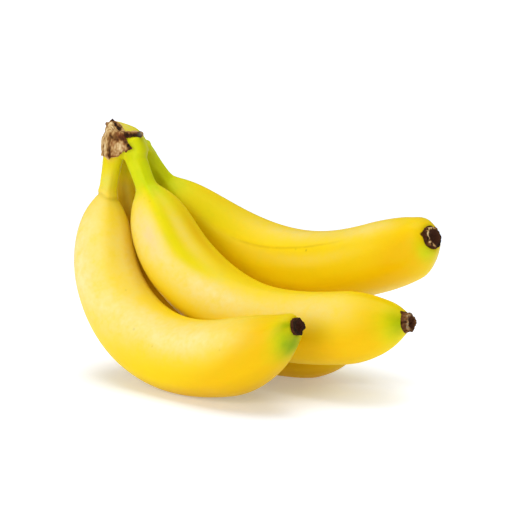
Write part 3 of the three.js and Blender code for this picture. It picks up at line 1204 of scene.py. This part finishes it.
    def marks(
        self, run: np.ndarray, turn: np.ndarray, half: np.ndarray, straight: np.ndarray, points: np.ndarray
    ) -> dict[str, np.ndarray]:
        """Finds where the peel is lime, golden, pale or stained.

        Args:
            run: each vertex's distance along the fruit.
            turn: its turn round the section.
            half: the section's half thickness there.
            straight: its place on the fruit laid straight.
            points: its place in space, with the two caps' middles at the end.

        Returns:
            One array per attribute, for the vertices and the caps' middles.
        """
        ripe = self.ripeness
        from_end = self.growth.skin_end - run
        gap = turn_apart(turn, self.ridge_turn(run))
        start, end, strength = ripe.band
        on_band = bump(gap, 0, self.band_width) * smooth(run, start - self.band_starts, start)
        on_band = on_band * (1 - smooth(run, end - self.band_ends, end)) * strength
        ripple = Ripple(self.seed + 3, self.patch_size, squash=(0.5, 1, 1)).at(straight)
        # The side turned down and away from the lamps: painted golden as shade, with pale patches.
        shaded_side = smooth(-np.cos(np.radians(turn - self.shaded_side_turn)), *self.shaded_side_from)
        gold_and_shade = ripe.gold_base + ripe.total("gold_and_shade", run, turn) + self.shaded_side_gold * shaded_side * (1 + ripple)
        # The pale waxy patches are partly the peel's own coat and partly a painted sheen where the soft
        # highlights fall.
        bloom_and_sheen = ripe.total("bloom_and_sheen", run, turn) + self.shaded_side_pale * shaded_side * smooth(ripple, -0.2, 1)
        bloom_and_sheen = bloom_and_sheen * (1 - smooth(on_band, 0, 0.4)) * smooth(from_end, *self.bloom_and_sheen_ends)
        blush = ripe.total("blush", run, turn)
        lime = ripe.neck_lime * (1 - smooth(run, *ripe.lime_fades))
        lime = lime + ripe.total("lime", run, turn) + on_band
        deep = ripe.total("deep", run, turn)
        # The crease below the neck is painted golden and deep green as shade.
        crease = np.abs(run - self.crease_run(turn))
        fold = ripe.crease * np.exp(-((crease / self.fold_shade_width) ** 2))
        gold_and_shade = gold_and_shade + self.fold_shade_gold * fold
        deep = deep + self.fold_shade_green * fold
        from_seat = np.hypot(np.maximum(from_end, 0), np.maximum(half - self.growth.tip_radius, 0))
        stain = self.seat_stain * np.exp(-((from_seat / self.seat_stain) ** 1.5))
        stain = stain + ripe.total("stain", run, turn)
        crown_look = self.crown.look(points[:-2])
        share = 1 - smooth(run, *self.crown_colour_ends).ravel()[:, None]
        start, end, strength = ripe.ink
        ink = strength * smooth(run, start - self.ink_starts, start + self.ink_starts)
        ink = ink * (1 - smooth(run, end - self.ink_ends, end))

        def capped(values: np.ndarray) -> np.ndarray:
            """The values with the two caps' middles added."""
            return np.concatenate([values, values[:1], values[-1:]])

        def shared(own: Sequence[np.ndarray], key: str) -> np.ndarray:
            """Three masks of the peel's own that give way to the crown's."""
            mixed = np.stack(own, axis=-1).reshape(-1, 3) * (1 - share) + crown_look[key] * share
            return capped(np.clip(mixed, 0, 1))

        return {
            "tone": shared([gold_and_shade, bloom_and_sheen, blush], "tone"),
            "growth": shared([lime, deep, stain], "growth"),
            "straight": capped(straight.reshape(-1, 3)),
            "ridge_gap": capped((np.radians(gap) * half).ravel()),
            "ink": capped(ink.ravel()),
        }

    def nicks(self) -> list[tuple[tuple[float, float, float], float, float]]:
        """Places the small marks on the fruit laid straight.

        Returns:
            Each mark's place, its reach and its strength.
        """
        found = []
        for run, turn, reach, strength in self.ripeness.nicks:
            half = float(self.growth.half_thickness(run))
            angle = math.radians(turn)
            found.append(((run, half * math.cos(angle), half * math.sin(angle)), reach, strength))
        return found

    def flower_end(self) -> Any:
        """Builds the dried flower end: a ragged, hollow cup on the peel's last ring.

        Returns:
            Its object.
        """
        growth = self.growth
        stations = growth.stations(np.array([growth.skin_end]))
        middle, inward = stations["middle"][0], stations["inward"][0]
        across, forward = stations["across"][0], stations["forward"][0]
        profile = np.array(self.end_profile)
        fine = np.linspace(0, len(profile) - 1, self.end_rings)
        forwards = np.interp(fine, np.arange(len(profile)), profile[:, 0])
        forwards = np.where(forwards > 0, forwards * growth.tip_depth / profile[:, 0].max(), forwards)
        shares = np.interp(fine, np.arange(len(profile)), profile[:, 1])
        turns = np.arange(self.tip_sides) * TURN / self.tip_sides
        draw = np.random.default_rng(self.seed + 5)
        rough = Ripple(self.seed + 6, *self.end_rough[:2])
        folds = Ripple(self.seed + 7, *self.end_folds[:2], squash=(0.4, 1, 1))
        station, turn = np.meshgrid(forwards, turns, indexing="ij")
        share = np.broadcast_to(shares[:, None], station.shape)
        phase = draw.uniform(0, TURN, 2)
        corner = np.abs(np.cos(1.5 * turn + phase[0])) ** 1.5
        corners, two, five = self.end_lobes
        lobes = 1 - corners + corners * corner + two * np.cos(2 * turn + phase[1])
        lobes = lobes + five * np.cos(5 * turn + phase[0])
        base_radius = growth.tip_radius * self.tip_width * share * lobes
        local = np.stack([station, base_radius * np.cos(turn), base_radius * np.sin(turn)], axis=-1)
        relief = self.end_rough[2] * rough.at(local) + self.end_folds[2] * folds.at(local)
        rim = smooth(share, *self.rim_share) * smooth(station / growth.tip_depth, *self.rim_depth)
        radius = base_radius + relief * smooth(share, 0.05, 0.4)
        worn, ragged = self.rim_wear
        station = station + rim * (worn * corner - worn + ragged * rough.at(local[..., [2, 1, 0]]))
        station = np.minimum(station, growth.tip_depth + self.rim_slack)
        points = (
            middle
            + forward * station[..., None]
            + inward * (radius * np.cos(turn))[..., None]
            + across * (radius * np.sin(turn))[..., None]
        ).reshape(-1, 3)
        points = np.vstack([points, middle + forward * forwards[0], middle + forward * forwards[-1]])
        hollow = np.arange(len(fine))[:, None] / len(fine) > self.hollow_from
        # The rim's tan lies on the side that faces the lamps: partly the dried tissue's own tan and partly a
        # painted highlight.
        toward_lamps = smooth(np.cos(turn - self.highlight_turn), -0.8, 0.4)
        lit_rim = rim * smooth(np.abs(share - self.edge_share), 0.26, 0) * toward_lamps
        lit_rim = lit_rim * smooth(rough.at(local * 1.7), -0.8, 0.2)
        # Raised relief is painted paler as highlight and sunken relief darker, and the hollow is painted
        # darker as shade.
        shade = self.tip_shade + self.tip_tan_and_highlight * lit_rim + 0.3 * relief - 0.12 * hollow
        shade = np.clip(shade, 0, 1).ravel()
        grey = np.clip(self.tip_grey * lit_rim * smooth(folds.at(local), 0.1, 0.6), 0, 1).ravel()
        tone = np.stack([shade, 0.15 * (1 - rim).ravel(), grey], axis=-1)
        local = np.vstack([local.reshape(-1, 3), [[forwards[0], 0, 0], [forwards[-1], 0, 0]]])
        marks = {"tone": np.vstack([tone, tone[0], tone[-1]]), "straight": local}
        return make_object(f"flower_end_{self.name}", points, tube_faces(len(fine), self.tip_sides), marks)


# ---- The crown ----


@dataclass(frozen=True)
class Stroke:
    """A line over the cut tissue: raised like a fold or sunk like a crease, in a tone of its own, which on
    the sunk creases and cracks is painted shade.
    """

    path: tuple[tuple[float, float, float], ...]
    reach: float
    height: float = 0.0
    tone: float = 0.0
    flush: float = 0.0
    grey: float = 0.0

    def near(self, points: np.ndarray) -> np.ndarray:
        """Measures how near points are to the line.

        Args:
            points: places in millimetres.

        Returns:
            1 on the line, falling to 0 past its reach.
        """
        ends = self.path[1:] or self.path
        away = [segment_distance(points, start, end) for start, end in zip(self.path, ends)]
        return bump(np.min(away, axis=0), 0, self.reach)


STROKES = tuple(
    Stroke(*row)
    for row in (
        # The cleft that runs down from the top, sunk and painted dark as shade, and the rims beside it.
        (((-71.2, 36.6, 126.9), (-69.3, 34.2, 124.3)), 0.8, -0.4, -0.6),
        (((-72.6, 38.5, 129.2), (-71.2, 38, 127.9), (-69.6, 37, 126), (-67.9, 34.9, 124.3)), 0.9, 0.2, -0.14),
        (((-72.5, 39, 129.6), (-72.8, 38, 128.6)), 0.8, 0, -0.35),
        (((-76, 38.9, 127.2), (-76.2, 38.9, 126.6)), 1, 0.9, -0.4),
        (((-76.8, 38.8, 125.2), (-77.9, 38.4, 121.8)), 1.5, -0.8, -0.1),
        # Pale folds of skin down the left.
        (((-73.3, 35.9, 127), (-73.5, 31.8, 124)), 1.2, 0.6, 0.15),
        (
            ((-74.6, 32.8, 123.9), (-75.4, 30.9, 120.5), (-75.7, 29.9, 116.5), (-75.4, 29, 112.6)),
            1.4, 0.9, 0.22,
        ),
        (((-75.2, 29, 112.6), (-74.2, 28, 110.9)), 0.8, 0.5, -0.05),
        (((-77, 33, 121), (-77.4, 33.2, 116), (-76.8, 31, 111.5)), 0.7, -0.5, -0.22),
        # The crease beside the folds, and the facet's own creases, sunk and painted dark as shade.
        (((-73, 29.6, 123), (-73.6, 28.7, 121.2), (-74, 28.3, 119.2), (-74.1, 28, 114.6)), 0.8, -1.5, -0.75),
        (((-74.1, 28, 114.6), (-73.6, 27.7, 112.2)), 0.6, -0.9, -0.6),
        (((-73.2, 28.8, 122.2), (-71.2, 28.1, 120), (-69, 28.2, 119.4)), 0.6, -0.6, -0.45),
        # The hollow facet, its rims and its stains.
        (((-69.4, 27, 116), (-69, 27, 115.4)), 3.6, -1.3, 0.12),
        (((-67.8, 28.9, 121), (-65.8, 28.4, 119), (-64, 27.2, 117.2), (-62.5, 26.4, 115.6)), 1.2, 0.7, -0.45),
        (((-69, 28.9, 122.4), (-67.3, 29.2, 121.6), (-65.6, 29.2, 120.6)), 1.5, 0.2, -0.28, 0.55),
        (((-62.5, 26.5, 115.6), (-65, 26.8, 113.4), (-67.1, 26.9, 111.6)), 0.8, 0.3, -0.45, 0.4),
        (((-67.1, 26.9, 111), (-70.2, 27.1, 110.8), (-73.3, 27.4, 110.9)), 0.8, -0.3, -0.55, 0.6),
        (((-72.2, 28, 117.9), (-71.5, 27.8, 117)), 1, 0, -0.1, 0.5),
        (((-71.9, 27.9, 119.3), (-69, 27.5, 119), (-66.4, 27.3, 117.4)), 0.5, -0.3, -0.3, 0.3),
        (((-72.4, 27.8, 115.2), (-70.8, 27.5, 113.2), (-68, 27.2, 113.6)), 0.5, -0.3, -0.3, 0.3),
        (((-67.6, 27.4, 117.2), (-66.9, 27.2, 115.2), (-67.9, 27.1, 113.9)), 0.45, -0.3, -0.28, 0.2),
        (((-71.4, 27.8, 116.8), (-70.4, 27.6, 114.8)), 0.4, -0.2, -0.22, 0.2),
        (((-73, 27.6, 112.4), (-69.6, 27.3, 112.2)), 1.2, 0.2, 0.05, 0.35),
        (((-66.8, 27.2, 115.8), (-65.4, 26.9, 114.2)), 0.7, 0.3, -0.2, 0.4),
        (((-68.2, 27, 113.2), (-66.4, 26.9, 112.6)), 0.7, 0.2, -0.1, 0.45),
        # The lip that runs to the right, with its grey knob.
        (((-65.4, 29.3, 121.9), (-62.1, 29.8, 121.9), (-59, 30.4, 121.9)), 1.1, -0.5, -0.75),
        (((-57.7, 30.7, 122.5),), 1.4, 0, -0.2, 0, 0.5),
        (((-68, 31, 124), (-63.3, 31.4, 123.9), (-58.2, 31.6, 123.6)), 1.1, 0.2, -0.36, 0.3),
        (((-66.5, 29.1, 120.4), (-58, 30.3, 120.6)), 0.8, 0.1, -0.45),
        # Cracks on the sides that face away, sunk and painted dark as shade, and paler raised folds beside
        # them.
        (((-77.6, 44, 122), (-77.9, 41.5, 117), (-77.6, 43, 112.5)), 0.6, -0.7, -0.4),
        (((-76.6, 42, 126), (-76.9, 45, 121)), 0.9, 0.5, 0.15),
        (((-78.2, 39, 121), (-78.5, 38.6, 113)), 1, 0.5, 0.15),
    )
)


@dataclass
class Crown:
    """The crown: living skin that flows into the necks, and dried tissue over the cut faces."""

    form: CrownForm
    cut_corners: Points = (
        (-72.5, 39.1, 129.35), (-75.4, 39.1, 127.35), (-77.9, 39.1, 121.95), (-78.5, 37.1, 116.35),
        (-78.3, 36.1, 110.75), (-73.8, 28.6, 122.55), (-62.4, 26.5, 115.75), (-67.4, 26.9, 111.35),
        (-74.2, 27.5, 110.55), (-77.6, 31.1, 110.75), (-77.2, 46.1, 111.85), (-75.6, 45.6, 123.85),
        (-72.5, 36.1, 110.35),
    )
    lip_corners: Points = (
        (-71.6, 28.5, 123.55), (-71.6, 28.5, 120.55), (-57.9, 30.9, 122.75), (-57.9, 30.9, 120.9),
        (-70, 36.1, 123.95), (-70, 36.1, 120.95), (-57.4, 41.1, 122.35), (-57.4, 41.1, 120.6),
    )
    # Rounded ridges of tissue: the right rim of the cleft, the thorn below the facet and the lip's knob.
    cleft_rim: Points = (
        (-72.4, 39.0, 127.4), (-70.6, 38.2, 126.3), (-69.2, 37.0, 125.2), (-67.9, 35.0, 123.6),
    )
    cleft_rim_radius: float = 1.3
    thorn: Points = ((-74.1, 28.2, 112.0), (-74.1, 28.0, 110.35))
    thorn_radius: float = 0.55
    knob: Sequence[float] = (-57.9, 31.7, 122.1)
    knob_radius: float = 1.35
    skin_box: Points = ((-80, 22, 98), (-46, 60, 131))
    skin_step: float = 0.45
    skin_proud: float = 0.03
    skin_sinks: float = 0.9
    skin_thins: Span = (6, 11)
    skin_end: float = 10.5
    tissue_box: Points = ((-80.5, 24.5, 108), (-54.5, 48, 131))
    tissue_step: float = 0.3
    rounding: float = 0.3
    # The fillets where the lip, the knob, the cleft's rim and the thorn join, and how far it all is raised.
    lip_fillet: float = 1.2
    knob_fillet: float = 0.8
    rim_fillet: float = 0.9
    thorn_fillet: float = 0.8
    proud: float = 0.15
    # Each grain's seed, wavelength, number of waves and squash, and how high it stands.
    coarse_grain: tuple[int, float, int, Sequence[float]] = (71, 3.2, 36, (1, 1, 0.5))
    fine_grain: tuple[int, float, int, Sequence[float]] = (72, 1.2, 44, (1, 1, 0.4))
    coarse_height: float = 0.3
    fine_height: float = 0.16
    # How far from the surface the relief still has to reach.
    relief_reach: float = 2.5
    # The facet's swirl: its middle, the distances between which it fades out, and its rings' spacing.
    swirl: Span = (-69.3, 116.4)
    swirl_fades: Span = (5.0, 2.5)
    swirl_front: Span = (30, 28.5)
    swirl_rings: float = 1.5
    # The dried tissue's usual tone, from 0 for black to 1 for the palest.
    tissue_tone: float = 0.61
    coarse_tone: float = 0.17
    fine_tone: float = 0.15
    ring_tone: float = 0.07

    def grid(self, box: Points, step: float) -> np.ndarray:
        """A regular grid of points between two corners."""
        axes = [np.arange(start, end + step, step) for start, end in zip(*box)]
        return np.stack(np.meshgrid(*axes, indexing="ij"), axis=-1)

    def skin(self) -> Any:
        """Builds the living skin, which thins away under the necks' own peel.

        Returns:
            Its object.
        """
        points = self.grid(self.skin_box, self.skin_step)
        flat = points.reshape(-1, 3)
        run = self.form.nearest_run(flat)
        sunk = self.skin_sinks * smooth(run, *self.skin_thins)
        solid = self.form.distance(flat) - self.skin_proud + sunk
        solid = np.maximum(solid, run - self.skin_end).reshape(points.shape[:3])
        skin, faces = surface_net(solid, points[0, 0, 0], self.skin_step)
        # It has no ridges, so no ink lies on it.
        plain = {"straight": skin, "ridge_gap": np.full(len(skin), 9.0), "ink": np.zeros(len(skin))}
        return make_object("crown_skin", skin, faces, self.form.look(skin) | plain)

    def cut(self) -> Any:
        """Builds the dried tissue over the cut faces and along the lip.

        Returns:
            Its object.
        """
        points = self.grid(self.tissue_box, self.tissue_step)
        flat = points.reshape(-1, 3)
        body = rounded_hull(flat, hull_planes(self.cut_corners), self.rounding)
        lip = rounded_hull(flat, hull_planes(self.lip_corners), self.rounding)
        thorn = segment_distance(flat, *self.thorn) - self.thorn_radius
        knob = segment_distance(flat, self.knob, self.knob) - self.knob_radius
        spans = zip(self.cleft_rim, self.cleft_rim[1:])
        rim = np.min([segment_distance(flat, start, end) for start, end in spans], axis=0)
        solid = blend_union(blend_union(body, lip, self.lip_fillet), knob, self.knob_fillet)
        solid = blend_union(solid, rim - self.cleft_rim_radius, self.rim_fillet)
        solid = blend_union(solid, thorn, self.thorn_fillet) - self.proud
        close = np.flatnonzero(np.abs(solid) < self.relief_reach)
        rough, fine = self.grain(flat[close])
        raised = sum(stroke.height * stroke.near(flat[close]) for stroke in STROKES)
        solid[close] -= self.coarse_height * rough + self.fine_height * fine + raised
        tissue, faces = surface_net(solid.reshape(points.shape[:3]), points[0, 0, 0], self.tissue_step)
        marks = {"tone": self.tissue_tones(tissue), "straight": tissue * (1, 1, 0.4)}
        return make_object("crown_cut_tissue", tissue, faces, marks)

    def tissue_tones(self, tissue: np.ndarray) -> np.ndarray:
        """Finds how pale, flushed and grey the dried tissue is.

        Args:
            tissue: places on it.

        Returns:
            Its shade, flush and grey at each place, from 0 to 1.
        """
        rough, fine = self.grain(tissue)
        away = np.hypot(tissue[:, 0] - self.swirl[0], tissue[:, 2] - self.swirl[1])
        on_facet = smooth(away, *self.swirl_fades) * smooth(tissue[:, 1], *self.swirl_front)
        rings = np.cos(away * TURN / self.swirl_rings + 0.8 * rough) * on_facet
        near = [(stroke, stroke.near(tissue)) for stroke in STROKES]
        shade = self.tissue_tone + self.coarse_tone * rough + self.fine_tone * fine + self.ring_tone * rings
        # Each stroke adds its tone; on the sunk creases and cracks this is painted shade.
        shade = shade + sum(stroke.tone * share for stroke, share in near)
        flush = sum(stroke.flush * share for stroke, share in near) * (0.7 + 0.3 * rough)
        grey = sum(stroke.grey * share for stroke, share in near)
        return np.clip(np.stack([shade, flush + 0.15 * on_facet, grey], axis=-1), 0, 1)

    def grain(self, points: np.ndarray) -> tuple[np.ndarray, np.ndarray]:
        """The tissue's coarse and fine unevenness, drawn out along the fibres."""
        return Ripple(*self.coarse_grain).at(points), Ripple(*self.fine_grain).at(points)


# ---- The studio ----


@dataclass
class Studio:
    """The camera, a white floor that gives off painted light, and soft lamps."""

    camera_at: tuple[float, float, float] = (3.0, -948.53, 247.45)
    camera_down: float = 11.0
    view_width: float = 269.28
    view_distance: float = 1000.0
    sensor: float = 36.0
    clip: Span = (0.05, 50.0)
    floor_size: float = 16000.0
    floor_colour: str = "#F2F7FF"
    floor_painted_light: tuple[float, float, float, float] = (0.95, 1.0, 1.1, 1.0)
    painted_light_middle: tuple[float, float, float] = (-24.0, -15.0, 0.0)
    # The floor's own painted light by the distance from its middle, least near the bunch so that the shadow
    # shows there: from, to, and how much it adds over that stretch.
    painted_light_least: float = 0.21
    painted_light_steps: tuple[tuple[float, float, float], ...] = (
        (45, 130, 0.33), (130, 350, -0.22), (400, 1500, 0.6),
    )
    surroundings: float = 0.3
    # Each lamp's name, where it hangs, what it faces, its side and its power in watts.
    lamps: tuple[tuple[str, Sequence[float], Sequence[float], float, float], ...] = (
        ("overhead", (-60, 60, 1250), (0, 0, 50), 1000, 10.2),
        ("front_left", (-620, -950, 480), (-20, 0, 60), 650, 6.0),
    )

    def camera(self) -> None:
        """Adds the camera."""
        data = bpy.data.cameras.new("camera")
        data.sensor_width = self.sensor
        data.lens = self.sensor * self.view_distance / self.view_width
        data.clip_start, data.clip_end = self.clip
        camera = bpy.data.objects.new("camera", data)
        camera.location = (Vector(self.camera_at) + Vector(DRAWING_SHIFT)) * MM
        camera.rotation_euler = (math.radians(90 - self.camera_down), 0, 0)
        bpy.context.scene.collection.objects.link(camera)
        bpy.context.scene.camera = camera

    def floor(self) -> None:
        """Adds the floor, which isn't part of the bunch: white acrylic that gives off painted light, least
        near the bunch, which sets how far the shadow reaches.
        """
        half = self.floor_size / 2
        corners = np.array([(-half, -half, 0), (half, -half, 0), (half, half, 0), (-half, half, 0)])
        floor = make_object("floor", corners, [[0, 1, 2, 3]], {})
        acrylic, add = bare_material("white acrylic floor with painted light")
        where = add("NewGeometry").outputs["Position"]
        middle = tuple(Vector(self.painted_light_middle) * MM)
        away = add("VectorMath", {0: where, 1: middle}, operation="DISTANCE").outputs["Value"]
        # Painted light from the floor itself, least near the bunch.
        painted_light: Any = self.painted_light_least
        for start, end, more in self.painted_light_steps:
            inputs = {0: away, 1: start * MM, 2: end * MM, 3: 0.0, 4: more}
            added = add("MapRange", inputs, interpolation_type="SMOOTHSTEP").outputs[0]
            painted_light = add("Math", {0: added, 1: painted_light}, operation="ADD").outputs[0]
        shader = add(
            "BsdfPrincipled",
            {
                "Base Color": linear(self.floor_colour),
                "Roughness": 0.9,
                "Specular IOR Level": 0.1,
                "Emission Color": self.floor_painted_light,
                "Emission Strength": painted_light,
            },
        )
        add("OutputMaterial", {"Surface": shader.outputs[0]})
        floor.data.materials.append(acrylic)

    def lamp(self, name: str, at: Sequence[float], aim: Sequence[float], size: float, power: float) -> None:
        """Adds one soft square lamp.

        Args:
            name: the lamp's name.
            at: where it hangs, in millimetres.
            aim: the point it faces.
            size: its side, in millimetres.
            power: its power in watts.
        """
        data = bpy.data.lights.new(name, "AREA")
        data.shape, data.size, data.energy = "SQUARE", size * MM, power
        lamp = bpy.data.objects.new(name, data)
        lamp.location = Vector(at) * MM
        lamp.rotation_euler = (Vector(at) - Vector(aim)).to_track_quat("Z", "Y").to_euler()
        bpy.context.scene.collection.objects.link(lamp)

    def light(self) -> None:
        """Adds the lamps and the white surroundings."""
        for lamp in self.lamps:
            self.lamp(*lamp)
        world = bpy.data.worlds.new("white studio")
        world.use_nodes = True
        colour, strength = world.node_tree.nodes["Background"].inputs[:2]
        colour.default_value, strength.default_value = (1, 1, 1, 1), self.surroundings
        bpy.context.scene.world = world
        bpy.context.scene.view_settings.view_transform = "Standard"


def main() -> None:
    """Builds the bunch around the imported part."""
    logging.basicConfig(level=logging.INFO, format="%(message)s")
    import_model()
    studio = Studio()
    studio.camera()
    form = CrownForm(GROWTHS)
    ends = {
        "front": {"tip_tan_and_highlight": 0.1, "tip_shade": 0.06, "tip_width": 1.05},
        "middle": {"tip_tan_and_highlight": 0.45, "tip_grey": 0.8, "tip_shade": 0.26, "tip_width": 0.98},
        "back": {"tip_tan_and_highlight": 0.85, "tip_shade": 0.1, "tip_width": 0.97},
        "under": {},
    }
    for number, (name, growth) in enumerate(GROWTHS.items()):
        banana = Banana(name, growth, RIPENESS[name], form, seed=10 * number + 3, **ends[name])
        skin = PeelFinish().material(f"ripe banana peel, {name}", banana.nicks())
        place(banana.peel(), skin, f"finger_{name}", Slot.PEEL)
        dried = DriedFinish().material(f"dried flower end, {name}")
        place(banana.flower_end(), dried, f"tip_{name}", Slot.TIP)
    crown = Crown(form)
    place(crown.skin(), PeelFinish().material("crown skin"), "crown", Slot.CROWN_SKIN)
    place(crown.cut(), DriedFinish().material("dried cut tissue"), "crown_cut", Slot.CUT)
    studio.floor()
    studio.light()


if __name__ == "__main__":
    main()
